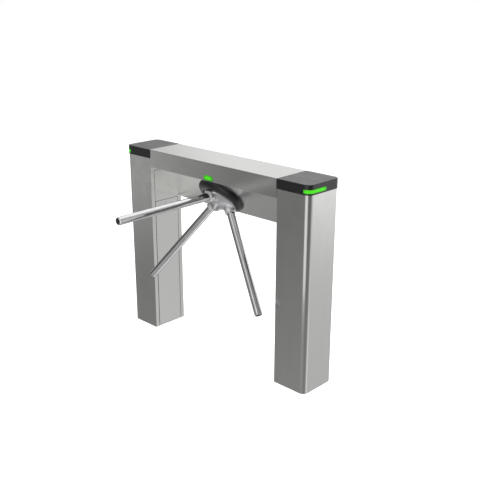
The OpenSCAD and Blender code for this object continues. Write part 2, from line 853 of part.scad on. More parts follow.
// Housing that carries the two shaft bearings
module bearing_housing() {
    color("darkgray") at_rotor() difference() {
        union() {
            translate([0, 0, plate_z]) cylinder(r = spigot_r, h = plate_t, $fn = 96);
            translate([0, 0, plate_z - housing_flange_t])
                cylinder(r = housing_flange_r, h = housing_flange_t, $fn = 96);
            translate([0, 0, housing_z]) cylinder(r = housing_r, h = housing_l - over, $fn = 96);
        }
        translate([0, 0, housing_z - over]) cylinder(r = housing_shoulder_r, h = housing_l + 2 * over, $fn = 96);
        translate([0, 0, front_bearing_z]) cylinder(r = bearing_r + run_fit, h = housing_l, $fn = 96);
        translate([0, 0, housing_z - over])
            cylinder(r = bearing_r + run_fit, h = bearing_w + over, $fn = 96);
        for (a = [30:60:330]) rotate(a) translate([housing_screw_at, 0, plate_z - housing_flange_t - over])
            cylinder(r = housing_screw_r, h = housing_flange_t + 2 * over);
    }
}
front_bearing_z = -beam_t - bearing_in - bearing_w;
module shaft_bearings() {
    color("lightsteelblue") at_rotor() for (z = [front_bearing_z, housing_z]) translate([0, 0, z])
        difference() {
            cylinder(r = bearing_r, h = bearing_w, $fn = 96);
            translate([0, 0, -over]) cylinder(r = shaft_r + run_fit, h = bearing_w + 2 * over, $fn = 96);
            for (face = [-over, bearing_w - bearing_groove]) translate([0, 0, face]) difference() {
                cylinder(r = bearing_r - bearing_race, h = bearing_groove + over, $fn = 96);
                translate([0, 0, -over])
                    cylinder(r = shaft_r + bearing_race, h = bearing_groove + 3 * over, $fn = 96);
            }
        }
}
module bearing_retainer() {
    color("gray") at_rotor() translate([0, 0, housing_z - retainer_t]) difference() {
        cylinder(r = housing_r, h = retainer_t, $fn = 96);
        translate([0, 0, -over]) cylinder(r = housing_shoulder_r, h = retainer_t + 2 * over, $fn = 96);
    }
}
module pillar_places() {
    for (x = [-1, 1], u = [pillar_top, -pillar_low]) translate([x * pillar_x, u, 0]) children();
}
module spacer_pillars() {
    color("lightgray") at_rotor() pillar_places() translate([0, 0, carrier_z + carrier_t])
        cylinder(r = pillar_r, h = plate_z - carrier_z - carrier_t);
}
module carrier_plate() {
    color("slategray") at_rotor() translate([0, 0, carrier_z]) difference() {
        block([-carrier_x, -carrier_low, 0], [carrier_x, carrier_top, carrier_t]);
        translate([0, 0, -over]) cylinder(r = carrier_hole_r, h = carrier_t + 2 * over, $fn = 96);
        at_motor() translate([0, 0, -over])
            cylinder(r = pinion_shaft_r + over, h = carrier_t + 2 * over);
        at_encoder() translate([0, 0, -over])
            cylinder(r = pinion_shaft_r + over, h = carrier_t + 2 * over);
    }
}

// Involute gears. roll is the unwound angle, in radians, at radius r
function roll(r, base_r) = r > base_r ? sqrt(pow(r / base_r, 2) - 1) : 0;
function involute(r, base_r) = let (a = roll(r, base_r)) a * 180 / PI - atan(a);
function half_tooth(r, n) =
    let (pitch_r = gear_m * n / 2, base_r = pitch_r * cos(pressure))
    90 / n - backlash / 4 / pitch_r * 180 / PI + involute(pitch_r, base_r) - involute(r, base_r);
module gear_outline(n) {
    pitch_r = gear_m * n / 2;
    base_r = pitch_r * cos(pressure);
    root_r = pitch_r - 1.25 * gear_m;
    tip_r = pitch_r + gear_m;
    from_r = max(base_r, root_r);
    radii = concat(root_r < from_r ? [root_r] : [], [for (i = [0:4]) from_r + (tip_r - from_r) * i / 4]);
    last = len(radii) - 1;
    polygon([for (k = [0:n - 1], i = [0:2 * last + 1])
        let (j = i <= last ? i : 2 * last + 1 - i, side = i <= last ? -1 : 1)
        let (a = 360 * k / n + side * half_tooth(radii[j], n))
        radii[j] * [cos(a), sin(a)]]);
}
module at_motor() {
    rotate(motor_angle) translate([motor_at, 0, 0]) rotate(-motor_angle) children();
}
module at_encoder() {
    rotate(encoder_angle) translate([encoder_at, 0, 0]) rotate(-encoder_angle) children();
}
// Turn of a pinion of n teeth, in the direction a from the rotor gear, that brings a gap opposite a tooth
function mesh_turn(a, n) = a + 180 + 180 / n + a * gear_n / n;

module rotor_gear() {
    color("goldenrod") at_rotor() difference() {
        union() {
            translate([0, 0, gear_z]) linear_extrude(gear_w) gear_outline(gear_n);
            translate([0, 0, gear_z - disc_gap / 2]) cylinder(r = gear_hub_r, h = gear_w + disc_gap / 2, $fn = 96);
        }
        translate([0, 0, gear_z - disc_gap]) cylinder(r = rear_shaft_r + run_fit, h = gear_w + 2 * disc_gap, $fn = 96);
    }
}
module pinion(n) {
    linear_extrude(gear_w) gear_outline(n);
    cylinder(r = pinion_shaft_r, h = carrier_z + carrier_t + pinion_bore_l - gear_z - over);
}
module motor_pinion() {
    color("goldenrod") at_rotor() at_motor() translate([0, 0, gear_z])
        rotate(mesh_turn(motor_angle, motor_n)) pinion(motor_n);
}
module encoder_pinion() {
    color("goldenrod") at_rotor() at_encoder() translate([0, 0, gear_z])
        rotate(mesh_turn(encoder_angle, encoder_n)) pinion(encoder_n);
}
// Round drive unit standing on the carrier plate, with a bore for its pinion shaft
module drive_unit(r, l, face_r) {
    difference() {
        union() {
            cylinder(r = r, h = l - motor_face_h);
            cylinder(r = face_r, h = l);
        }
        translate([0, 0, -over]) cylinder(r = pinion_shaft_r + run_fit, h = pinion_bore_l + over);
    }
}
module drive_motor() {
    motor_l = plate_z - carrier_z - carrier_t - motor_room;
    color("dimgray") at_rotor() at_motor() translate([0, 0, carrier_z + carrier_t])
        drive_unit(motor_r, motor_l, motor_face_r);
}
module encoder() {
    color("darkslategray") at_rotor() at_encoder() translate([0, 0, carrier_z + carrier_t])
        drive_unit(encoder_r, encoder_l, encoder_face_r);
}

// Index disc with the notches that the lock bolts enter
module index_disc() {
    color("lightslategray") at_rotor() translate([0, 0, disc_z]) difference() {
        union() {
            cylinder(r = disc_r, h = disc_t, $fn = 96);
            cylinder(r = gear_hub_r, h = disc_t + disc_gap / 2, $fn = 96);
        }
        translate([0, 0, -over]) cylinder(r = rear_shaft_r + run_fit, h = disc_t + disc_gap, $fn = 96);
        for (k = [1:notch_n]) rotate(360 * k / notch_n) {
            translate([disc_r - notch_depth - bolt_clear, -bolt_r - notch_slip, -over])
                cube([notch_depth + bolt_clear + over, 2 * (bolt_r + notch_slip), disc_t + 2 * over]);
            rotate(180 / notch_n) translate([disc_hole_at, 0, -over])
                cylinder(r = disc_hole_r, h = disc_t + 2 * over);
        }
    }
}
module shaft_nut() {
    color("gray") at_rotor() translate([0, 0, disc_z - nut_t]) difference() {
        cylinder(r = nut_r, h = nut_t, $fn = 6);
        translate([0, 0, -over]) cylinder(r = rear_shaft_r + run_fit - over, h = nut_t + 2 * over, $fn = 96);
    }
}
// Stepped shaft with a flange for the hub
module rotor_shaft() {
    flange_z = hub_back + hub_spigot_h;
    color("lightgray") at_rotor() difference() {
        union() {
            translate([0, 0, over]) cylinder(r = hub_spigot_r, h = flange_z - over, $fn = 96);
            translate([0, 0, front_bearing_z + bearing_w]) cylinder(r = collar_r, h = -front_bearing_z - bearing_w + over, $fn = 96);
            translate([0, 0, gear_z + gear_w]) cylinder(r = shaft_r, h = -gear_z - gear_w, $fn = 96);
            translate([0, 0, disc_z]) cylinder(r = rear_shaft_r, h = -disc_z, $fn = 96);
            translate([0, 0, disc_z - nut_t - over]) cylinder(r = rear_shaft_r - over, h = nut_t + 2 * over, $fn = 96);
        }
        translate([0, 0, -hub_bolt_in - over]) cylinder(r = hub_bolt_r + run_fit, h = hub_bolt_in + flange_z + 2 * over);
    }
}

// Lock solenoids on the carrier plate and the bolts that slide in them
module at_bolt(a) {
    at_rotor() rotate(a) translate([0, 0, disc_mid]) rotate([0, 90, 0]) children();
}
module lock_solenoids() {
    color("royalblue") for (a = bolt_angles) at_bolt(a) translate([0, 0, solenoid_at]) difference() {
        union() {
            block(
                [disc_mid - carrier_z, -solenoid_w / 2, 0],
                [solenoid_h + disc_mid - carrier_z, solenoid_w / 2, solenoid_l]
            );
        }
        translate([0, 0, -over]) cylinder(r = bolt_r + bolt_fit, h = solenoid_bore_l + over);
    }
}
module lock_bolt(a) {
    nose = disc_r + bolt_clear;
    color("lightgray") at_bolt(a) difference() {
        translate([0, 0, nose]) cylinder(r = bolt_r, h = bolt_l);
        translate([-bolt_r - over, sign(cos(a)) * bolt_r, nose]) rotate([45, 0, 0])
            translate([0, -bolt_bevel / 2, -bolt_bevel / 2]) cube([2 * bolt_r + 2 * over, bolt_bevel, bolt_bevel]);
    }
}

// Electronics boxes on the posts' outer walls
module vented_box(w, d, h) {
    difference() {
        cube([d, w, h]);
        for (z = [vent_step:vent_step:h - vent_step]) translate([-over, (w - vent_l) / 2, z])
            cube([vent_depth + over, vent_l, vent_w]);
    }
}
module control_unit() {
    color("gray") on_side(false) translate([half_len - post_t - unit_d, -unit_w / 2, unit_z])
        vented_box(unit_w, unit_d, unit_h);
}
module power_supply() {
    color("lightgray") on_side(true) translate([half_len - post_t - supply_d, -supply_w / 2, unit_z])
        vented_box(supply_w, supply_d, supply_h);
}

post_shell(false);  // post_shell_left
post_shell(true);  // post_shell_right
base_plate(false);  // base_plate_left
base_plate(true);  // base_plate_right
upper_panel(false);  // upper_panel_left
upper_panel(true);  // upper_panel_right
post_door(false);  // post_door_left
post_door(true);  // post_door_right
color("darkgray") on_side(false) at_door_lock() lock_barrel();  // door_lock_left
color("darkgray") on_side(true) at_door_lock() lock_barrel();  // door_lock_right
color("gray") on_side(false) at_door_lock() lock_cam();  // door_cam_left
color("gray") on_side(true) at_door_lock() lock_cam();  // door_cam_right
cap(false);  // cap_left
cap(true);  // cap_right
cap_light(false);  // cap_light_left
cap_light(true);  // cap_light_right
reader_boards();
beam_shell();
beam_end(false);  // beam_end_left
beam_end(true);  // beam_end_right
beam_bolts();
service_panel();
hinge_brackets();
color("darkgray") for (s = [-1, 1]) at_service_lock(s) lock_barrel();  // panel_locks
color("gray") at_service_lock(-1) lock_cam();  // panel_cam_left
color("gray") at_service_lock(1) lock_cam();  // panel_cam_right
bezel();
bezel_screws();
indicator_lens();
mech_plate();
bearing_housing();
shaft_bearings();
bearing_retainer();
spacer_pillars();
carrier_plate();
drive_motor();
motor_pinion();
encoder();
encoder_pinion();
lock_solenoids();
lock_bolt(bolt_angles[1]);  // lock_bolt_left
lock_bolt(bolt_angles[0]);  // lock_bolt_right
rotor_shaft();
rotor_gear();
index_disc();
shaft_nut();
hub();
hub_bolt();
hub_cap();
arm(arm_turns[0]);  // arm_1
arm(arm_turns[1]);  // arm_2
arm(arm_turns[2]);  // arm_3
arm_caps();
arm_screws();
control_unit();
power_supply();
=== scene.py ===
import json
import math

import bpy
import numpy as np
from mathutils import Matrix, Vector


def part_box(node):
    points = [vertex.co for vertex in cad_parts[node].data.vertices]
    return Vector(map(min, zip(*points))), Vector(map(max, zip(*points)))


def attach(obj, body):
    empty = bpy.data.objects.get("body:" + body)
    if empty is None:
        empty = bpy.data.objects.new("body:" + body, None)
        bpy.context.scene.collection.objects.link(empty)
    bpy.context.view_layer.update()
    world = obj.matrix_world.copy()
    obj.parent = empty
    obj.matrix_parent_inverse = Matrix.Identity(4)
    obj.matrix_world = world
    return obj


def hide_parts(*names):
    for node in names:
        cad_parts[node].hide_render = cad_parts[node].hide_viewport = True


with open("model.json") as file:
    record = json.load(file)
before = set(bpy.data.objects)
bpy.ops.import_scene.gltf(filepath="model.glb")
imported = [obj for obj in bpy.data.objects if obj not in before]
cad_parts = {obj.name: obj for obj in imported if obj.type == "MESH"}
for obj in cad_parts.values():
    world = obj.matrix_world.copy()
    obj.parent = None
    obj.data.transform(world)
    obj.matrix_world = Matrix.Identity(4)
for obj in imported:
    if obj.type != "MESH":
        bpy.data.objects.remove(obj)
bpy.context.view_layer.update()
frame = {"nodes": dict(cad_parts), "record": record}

scene = bpy.context.scene
MM = 0.001


# Nodes and colours

def linear(hex_code):
    """sRGB hex, such as "#8a8a88", as linear RGBA."""
    srgb = np.array([int(hex_code[i:i + 2], 16) for i in (1, 3, 5)]) / 255.0
    values = np.where(srgb <= 0.04045, srgb / 12.92, ((srgb + 0.055) / 1.055) ** 2.4)
    return (*values.tolist(), 1.0)


def add(tree, kind, links=None, **settings):
    """Adds one node. settings are its properties or socket values, links its sockets' sources."""
    node = tree.nodes.new(kind)
    for name, value in settings.items():
        if hasattr(node, name):
            setattr(node, name, value)
    for name, value in settings.items():
        if not hasattr(node, name):
            node.inputs[name.replace("_", " ")].default_value = value
    for socket, source in (links or {}).items():
        tree.links.new(source, node.inputs[socket])
    return node


def new_material(name):
    """An empty node material and its tree."""
    material = bpy.data.materials.new(name)
    material.use_nodes = True
    material.node_tree.nodes.clear()
    return material, material.node_tree


def stretched(tree, spacing, seed=0.0):
    """Object coordinates scaled to noise cells of spacing = (x, y, z) millimetres, and moved by seed."""
    place = add(tree, "ShaderNodeTexCoord")
    scale = tuple(1.0 / (s * MM) for s in spacing)
    return add(tree, "ShaderNodeMapping", {"Vector": place.outputs["Object"]},
               Scale=scale, Location=(seed, seed, seed)).outputs["Vector"]


def noise(tree, spacing, detail=2.0, roughness=0.5, seed=0.0):
    """Noise from 0 to 1 with cells of the given size in millimetres."""
    return add(tree, "ShaderNodeTexNoise", {"Vector": stretched(tree, spacing, seed)},
               Scale=1.0, Detail=detail, Roughness=roughness).outputs["Fac"]


def spread(tree, source, low, high, from_low=0.25, from_high=0.75):
    """Maps from_low to from_high, which by default is a noise's middle range, onto low to high."""
    node = add(tree, "ShaderNodeMapRange", {"Value": source})
    node.inputs["From Min"].default_value = from_low
    node.inputs["From Max"].default_value = from_high
    node.inputs["To Min"].default_value = low
    node.inputs["To Max"].default_value = high
    return node.outputs["Result"]


def mixed(tree, share, first, second):
    """A colour between two, each a value or another node's output."""
    node = add(tree, "ShaderNodeMix", data_type="RGBA")
    tree.links.new(share, node.inputs["Factor"])
    for socket, colour in zip([s for s in node.inputs if s.type == "RGBA"], (first, second)):
        if isinstance(colour, bpy.types.NodeSocket):
            tree.links.new(colour, socket)
        else:
            socket.default_value = colour
    return [s for s in node.outputs if s.type == "RGBA"][0]


def tinted(tree, source, dark, light):
    """A colour between two hex values, chosen by a noise."""
    return mixed(tree, spread(tree, source, 0.0, 1.0), linear(dark), linear(light))


def bump(tree, height, depth, strength=1.0):
    """A bump whose full height is depth millimetres."""
    return add(tree, "ShaderNodeBump", {"Height": height},
               Strength=strength, Distance=depth * MM).outputs["Normal"]


def finish_with(tree, **settings):
    """Principled shader and output. Values that are sockets are linked, others are set."""
    sockets = {name.replace("_", " "): value for name, value in settings.items()}
    links = {name: value for name, value in sockets.items() if isinstance(value, bpy.types.NodeSocket)}
    shader = add(tree, "ShaderNodeBsdfPrincipled", links)
    for name, value in sockets.items():
        if name not in links:
            shader.inputs[name].default_value = value
    add(tree, "ShaderNodeOutputMaterial", {"Surface": shader.outputs["BSDF"]})


# Metals

def brushed_stainless(name, along):
    """Stainless sheet, belt-brushed along one axis: long hair lines that spread reflections across
    themselves. They are 0.9 mm wide, several times the real grit's width, or they wouldn't show."""
    material, tree = new_material(name)
    fine = [0.9, 0.9, 0.9]
    fine[along] = 160.0
    broad = [9.0, 9.0, 9.0]
    broad[along] = 420.0
    lines = noise(tree, fine, detail=3.0, roughness=0.6)
    bands = noise(tree, broad, detail=2.0, seed=3.7)
    smudge = noise(tree, (70.0, 70.0, 70.0), detail=3.0, seed=9.1)
    both = add(tree, "ShaderNodeMath", {0: lines, 1: bands}, operation="ADD").outputs["Value"]
    half = add(tree, "ShaderNodeMath", {0: both}, operation="MULTIPLY")
    half.inputs[1].default_value = 0.5
    wear = add(tree, "ShaderNodeMath", {0: spread(tree, lines, -0.008, 0.008),
                                        1: spread(tree, smudge, 0.19, 0.24)}, operation="ADD")
    finish_with(tree, Base_Color=tinted(tree, half.outputs["Value"], "#bbbbb9", "#c1c1bf"),
                Metallic=1.0, Roughness=wear.outputs["Value"], Normal=bump(tree, lines, 0.002, 0.07))
    return material


def polished_metal(name, dark, light, roughness):
    """Bright metal, from mirror to satin by its roughness, with a faint haze and ripple."""
    material, tree = new_material(name)
    haze = noise(tree, (30.0, 30.0, 30.0), detail=4.0, seed=2.2)
    ripple = noise(tree, (14.0, 14.0, 14.0), detail=1.0, seed=6.4)
    finish_with(tree, Base_Color=tinted(tree, haze, dark, light), Metallic=1.0,
                Roughness=spread(tree, haze, roughness, roughness + 0.05),
                Normal=bump(tree, ripple, 0.012, 0.4))
    return material


def zinc_plated(name):
    """Zinc-plated steel: pale and blue-grey, with a soft spangle in cells of 9 mm."""
    material, tree = new_material(name)
    spangle = add(tree, "ShaderNodeTexVoronoi", {"Vector": stretched(tree, (9.0, 9.0, 9.0))}, Scale=1.0)
    grain = noise(tree, (1.2, 1.2, 1.2), detail=2.0)
    finish_with(tree, Base_Color=tinted(tree, spangle.outputs["Distance"], "#9da1a6", "#b7babd"),
                Metallic=1.0, Roughness=spread(tree, spangle.outputs["Distance"], 0.3, 0.45),
                Normal=bump(tree, grain, 0.01, 0.3))
    return material


def machined_steel(name):
    """Turned and ground steel under a film of oil: fine tool marks and stains."""
    material, tree = new_material(name)
    marks = noise(tree, (1.0, 1.0, 1.0), detail=3.0)
    stain = noise(tree, (40.0, 40.0, 40.0), detail=3.0, seed=4.0)
    finish_with(tree, Base_Color=tinted(tree, stain, "#7f7d79", "#a3a29f"), Metallic=1.0,
                Roughness=spread(tree, marks, 0.2, 0.34), Normal=bump(tree, marks, 0.006, 0.4))
    return material


def cast_aluminium(name):
    """Cast or pressed aluminium: dull, with a fine pebbled skin."""
    material, tree = new_material(name)
    skin = noise(tree, (1.6, 1.6, 1.6), detail=4.0, roughness=0.6)
    finish_with(tree, Base_Color=tinted(tree, skin, "#a2a3a4", "#bfc0c0"), Metallic=1.0,
                Roughness=spread(tree, skin, 0.45, 0.6), Normal=bump(tree, skin, 0.08, 0.7))
    return material


def dull_paint(name, dark, light, roughness=0.45):
    """Sprayed paint with slight orange peel."""
    material, tree = new_material(name)
    peel = noise(tree, (2.2, 2.2, 2.2), detail=1.5)
    finish_with(tree, Base_Color=tinted(tree, peel, dark, light),
                Roughness=spread(tree, peel, roughness - 0.05, roughness + 0.08),
                Normal=bump(tree, peel, 0.02, 0.6))
    return material


# Plastics and lights

def grained_abs(name, dark, light, roughness):
    """Injection-moulded ABS with a fine spark-eroded grain, which gives a soft, broken sheen. Its cells
    are 0.7 mm wide, coarser than the real 0.1 mm, or they wouldn't show."""
    material, tree = new_material(name)
    grain = noise(tree, (0.7, 0.7, 0.7), detail=2.0)
    sheen = noise(tree, (45.0, 45.0, 45.0), detail=3.0, seed=1.3)
    finish_with(tree, Base_Color=tinted(tree, sheen, dark, light),
                Roughness=spread(tree, sheen, roughness - 0.04, roughness + 0.06),
                Normal=bump(tree, grain, 0.03, 0.5))
    return material


def lit_acrylic(name, low, high, fade, dim):
    """Green diffusing acrylic, lit from inside by diodes about 12 mm apart. low and high are places in
    metres (outwards from the middle, y, z) where the strip ends, or None where it doesn't. Its light
    falls to the share dim within fade millimetres of them."""
    material, tree = new_material(name)
    coordinates = add(tree, "ShaderNodeTexCoord").outputs["Object"]
    place = add(tree, "ShaderNodeSeparateXYZ", {"Vector": coordinates}).outputs
    outwards = add(tree, "ShaderNodeMath", {0: place["X"]}, operation="ABSOLUTE").outputs["Value"]
    light = spread(tree, noise(tree, (12.0, 12.0, 30.0), detail=0.0, seed=0.4), 0.84, 1.0)
    for source, start, stop, reach in zip((outwards, place["Y"], place["Z"]), low, high, fade):
        for end, inwards in ((start, reach * MM), (stop, -reach * MM)):
            if end is not None:
                share = spread(tree, source, dim, 1.0, end, end + inwards)
                light = add(tree, "ShaderNodeMath", {0: light, 1: share},
                            operation="MULTIPLY").outputs["Value"]
    finish_with(tree, Base_Color=linear("#0c3d06"), Roughness=0.5, Specular_IOR_Level=0.2,
                Emission_Color=linear("#55ee22"), Emission_Strength=light)
    return material


def solder_mask(name):
    """Green circuit board: mask over a maze of copper tracks, with cells of 6 mm."""
    material, tree = new_material(name)
    tracks = add(tree, "ShaderNodeTexVoronoi", {"Vector": stretched(tree, (6.0, 6.0, 6.0))},
                 Scale=1.0, feature="DISTANCE_TO_EDGE", distance="MANHATTAN")
    finish_with(tree, Base_Color=tinted(tree, tracks.outputs["Distance"], "#1f6a3a", "#0c4322"),
                Roughness=0.3, Normal=bump(tree, tracks.outputs["Distance"], 0.05, 0.5))
    return material


# A cap's strip is bent round the cap's front corner, so it ends inwards by x and backwards by y.
STRIP_LOW, STRIP_HIGH = (tuple(map(float, corner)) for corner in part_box("cap_light_right"))
LENS_LOW, LENS_HIGH = (tuple(map(float, corner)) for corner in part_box("indicator_lens"))
STRIP_ENDS = (STRIP_LOW[0], None, STRIP_LOW[2]), (None, STRIP_HIGH[1], STRIP_HIGH[2])
LENS_ENDS = (None, None, LENS_LOW[2]), (LENS_HIGH[0], None, LENS_HIGH[2])
FINISHES = {
    "stainless_sheet": brushed_stainless("brushed_stainless_upright", 2),
    "stainless_beam": brushed_stainless("brushed_stainless_lengthwise", 0),
    "zinc_plate": zinc_plated("zinc_plated_steel"),
    "fasteners": zinc_plated("zinc_plated_fasteners"),
    "lock_chrome": polished_metal("chromed_die_casting", "#c9c9cb", "#dcdcdd", 0.12),
    "black_abs": grained_abs("black_grained_abs", "#08080a", "#101012", 0.32),
    "black_abs_mark": grained_abs("black_abs_relief", "#48484b", "#525256", 0.34),
    "green_light": lit_acrylic("green_lit_strip", *STRIP_ENDS, (12.0, 16.0, 5.0), 0.5),
    "green_lens": lit_acrylic("green_lit_lens", *LENS_ENDS, (18.0, 0.0, 10.0), 0.4),
    "polished_casting": polished_metal("satin_plated_casting", "#bcbcbe", "#cdcdcf", 0.36),
    # The collars' near-white metal colour is a painted highlight.
    "collar_highlight_painted_metal": polished_metal("turned_collar_painted_highlight", "#ececee", "#f6f6f7", 0.42),
    "polished_tube": polished_metal("polished_stainless_tube", "#c6c6c8", "#dadadb", 0.05),
    "machined_steel": machined_steel("machined_oiled_steel"),
    "cast_housing": cast_aluminium("cast_aluminium"),
    "motor_paint": dull_paint("black_stove_enamel", "#151517", "#222226"),
    "encoder_plastic": grained_abs("encoder_moulding", "#1d232b", "#2a323c", 0.3),
    "circuit_board": solder_mask("green_solder_mask"),
    "control_box": grained_abs("light_grey_moulding", "#8d9093", "#9fa2a5", 0.4),
    "supply_box": cast_aluminium("pressed_aluminium_case"),
}

# The sheets of the beam are brushed lengthwise. Every other node takes its record's slot.
slot_of = {part["node"]: part["material_slot"] for part in frame["record"]["subparts"]}
slot_of.update(beam_shell="stainless_beam", service_panel="stainless_beam", indicator_lens="green_lens")
for node_name, node in frame["nodes"].items():
    for material_slot in node.material_slots:
        material_slot.material = FINISHES[slot_of[node_name]]

# The arms mirror no green light in the photograph, so the lens is kept out of reflections.
frame["nodes"]["indicator_lens"].visible_glossy = False


# Surfaces from formulas

ROTOR = [j for j in frame["record"]["behaviour"]["joints"] if j["name"] == "rotor_spin"][0]
ROTOR_ORIGIN = np.array(ROTOR["pos_m"])
ROTOR_Z = np.array(ROTOR["axis"]) / np.linalg.norm(ROTOR["axis"])
ROTOR_X = np.array((1.0, 0.0, 0.0))
ROTOR_U = np.cross(ROTOR_Z, ROTOR_X)

# In the rotor's frame, in millimetres: the arms' axes meet at APEX and lean ARM_ANGLE off its z axis.
APEX = np.array((0.0, 0.0, -24.5))
ARM_TIP = 634.0
ARM_ANGLE = math.radians(44.2)
ARM_TURNS = np.radians([-1.2, -121.2, 118.8])
ARM_WAYS = np.stack([np.sin(ARM_TURNS) * math.sin(ARM_ANGLE), np.cos(ARM_TURNS) * math.sin(ARM_ANGLE),
                     np.full(3, math.cos(ARM_ANGLE))], axis=-1)

# The hub: a disc with a rounded edge, a cone up to its nose, and the recess behind.
DISC_R, DISC_EDGE = 90.0, 7.0
DISC_BACK, DISC_TOP = 3.0, 24.0
CONE_FOOT_R, CONE_SLOPE = 42.0, (0.908, 0.419)
NOSE_R, NOSE_TOP = 16.0, 76.0
RECESS_R, RECESS_TOP = 45.3, 11.0

# The arms' roots, by distance from the apex: they flare towards the hub from FLARE_START.
ROOT_R, ROOT_END = 25.6, 106.0
ROOT_FLARE, FLARE_START, FLARE_LENGTH = 5.0, 86.0, 40.0

# How far the cone and roots melt into what they stand on. Below RIM_TOP the skin stays within RIM_R.
CONE_BLEND, ROOT_BLEND = 26.0, 30.0
RIM_R, RIM_TOP = 90.3, 30.0


def from_rotor(points):
    """Rotor frame in millimetres (z out along the rotor axis) to the object's frame in metres."""
    return ROTOR_ORIGIN + MM * (points @ np.stack([ROTOR_X, ROTOR_U, ROTOR_Z]))


def strip_faces(rows, columns, first=0, wrap_rows=False):
    """Quads of a grid of rows by columns, with its points numbered from first and its rows closed."""
    i = np.arange(rows if wrap_rows else rows - 1)[:, None]
    j = np.arange(columns)[None, :]
    below, right = (i + 1) % rows, (j + 1) % columns
    corners = [i * columns + j, i * columns + right, below * columns + right, below * columns + j]
    return first + np.stack(np.broadcast_arrays(*corners), axis=-1).reshape(-1, 4)


def fan(columns, first, tip):
    """Triangles between a tip and a closed row of points numbered from first."""
    ring = np.arange(columns)
    return np.stack([np.full(columns, tip), first + ring, first + (ring + 1) % columns], axis=-1)


def new_piece(name, points, faces, body, finish, sharp=35.0):
    """A mesh object from points in metres and faces, smooth except at edges over sharp degrees."""
    mesh = bpy.data.meshes.new(name)
    mesh.from_pydata(points.tolist(), [], [face.tolist() for group in faces for face in group])
    mesh.validate()
    mesh.materials.append(FINISHES[finish])
    mesh.shade_smooth()
    mesh.set_sharp_from_angle(angle=math.radians(sharp))
    piece = bpy.data.objects.new(name, mesh)
    scene.collection.objects.link(piece)
    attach(piece, body)
    return piece


def smooth_least(a, b, blend):
    """Least of two distances, rounded over where they are within blend of each other."""
    share = np.clip(0.5 + 0.5 * (b - a) / blend, 0.0, 1.0)
    return b + share * (a - b) - blend * share * (1.0 - share)


def casting_distance(p):
    """Distance in millimetres outside the hub's skin: a disc with a rounded edge, a cone up to the nose
    and three tapered arms' roots, each melted into the next."""
    r, z = np.hypot(p[..., 0], p[..., 1]), p[..., 2]
    over_r, over_z = r - (DISC_R - DISC_EDGE), z - (DISC_TOP - DISC_EDGE)
    outside = np.hypot(np.maximum(over_r, 0.0), np.maximum(over_z, 0.0))
    disc = outside - DISC_EDGE + np.minimum(np.maximum(over_r, over_z), 0.0)
    side = CONE_SLOPE[0] * (r - CONE_FOOT_R) + CONE_SLOPE[1] * (z - DISC_TOP)
    cone = np.maximum(side, z - NOSE_TOP)
    skin = smooth_least(disc, cone, CONE_BLEND)
    for way in ARM_WAYS:
        along = (p - APEX) @ way
        off = np.linalg.norm(p - APEX - along[..., None] * way, axis=-1)
        flare = ROOT_FLARE * np.clip((FLARE_START - along) / FLARE_LENGTH, 0.0, 1.0)
        skin = smooth_least(skin, np.maximum(off - ROOT_R - flare, along - ROOT_END), ROOT_BLEND)
    return np.maximum(skin, np.where(z < RIM_TOP, r - RIM_R, -1e3))


def outermost(ways, reach=(20.0, 150.0), steps=130, halvings=18):
    """Length of each ray from the apex to the last place where it leaves the hub's skin: found to the
    step by sampling, then closer by halving."""
    lengths = np.linspace(*reach, steps)
    inside = np.stack([casting_distance(APEX + t * ways) < 0.0 for t in lengths])
    last = steps - 1 - np.argmax(inside[::-1], axis=0)
    low, high = lengths[last], lengths[np.minimum(last + 1, steps - 1)]
    for _ in range(halvings):
        middle = 0.5 * (low + high)
        within = casting_distance(APEX + middle[..., None] * ways) < 0.0
        low, high = np.where(within, middle, low), np.where(within, high, middle)
    return 0.5 * (low + high)


def hub_casting(around=288):
    """Hub skin: rays from the apex through the points of the plain hub's profile, cut off where they
    leave the melted skin, closed behind by the disc's back with the spigot's recess."""
    rise = np.radians(np.linspace(0.0, 90.0, 44))
    shoulder_r, edge_low = DISC_R - DISC_EDGE, DISC_TOP - DISC_EDGE
    nose = np.stack([np.linspace(1.0, NOSE_R, 8), np.full(8, NOSE_TOP)], axis=-1)
    bell = np.stack([shoulder_r - (shoulder_r - NOSE_R) * np.sin(rise[::-1]),
                     NOSE_TOP - (NOSE_TOP - DISC_TOP) * np.cos(rise[::-1])], axis=-1)[1:]
    edge = np.stack([shoulder_r + DISC_EDGE * np.sin(rise[4::4]),
                     edge_low + DISC_EDGE * np.cos(rise[4::4])], axis=-1)
    rim_start = 13.5
    rim = np.stack([np.full(4, DISC_R), np.linspace(rim_start, DISC_BACK, 4)], axis=-1)
    profile = np.concatenate([nose, bell, edge, rim])
    polar = np.arctan2(profile[:, 0], profile[:, 1] - APEX[2])[:, None]
    turn = np.radians(np.arange(around) * 360.0 / around)[None, :]
    ways = np.stack(np.broadcast_arrays(np.sin(polar) * np.cos(turn), np.sin(polar) * np.sin(turn),
                                        np.cos(polar)), axis=-1)
    skin = APEX + outermost(ways)[..., None] * ways
    back = np.array([(RECESS_R, DISC_BACK), (RECESS_R, RECESS_TOP)])
    behind = np.stack(np.broadcast_arrays(back[:, :1] * np.cos(turn), back[:, :1] * np.sin(turn),
                                          back[:, 1:]), axis=-1)
    rows = np.concatenate([skin, behind])
    points = np.concatenate([rows.reshape(-1, 3), [(0.0, 0.0, NOSE_TOP), (0.0, 0.0, RECESS_TOP)]])
    nose_tip, recess_tip = len(rows) * around, len(rows) * around + 1
    faces = [strip_faces(len(rows), around)[:, ::-1], fan(around, 0, nose_tip),
             fan(around, nose_tip - around, recess_tip)[:, ::-1]]
    casting = new_piece("hub_casting", from_rotor(points), faces, "rotor",
                        "polished_casting")
    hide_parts("hub")


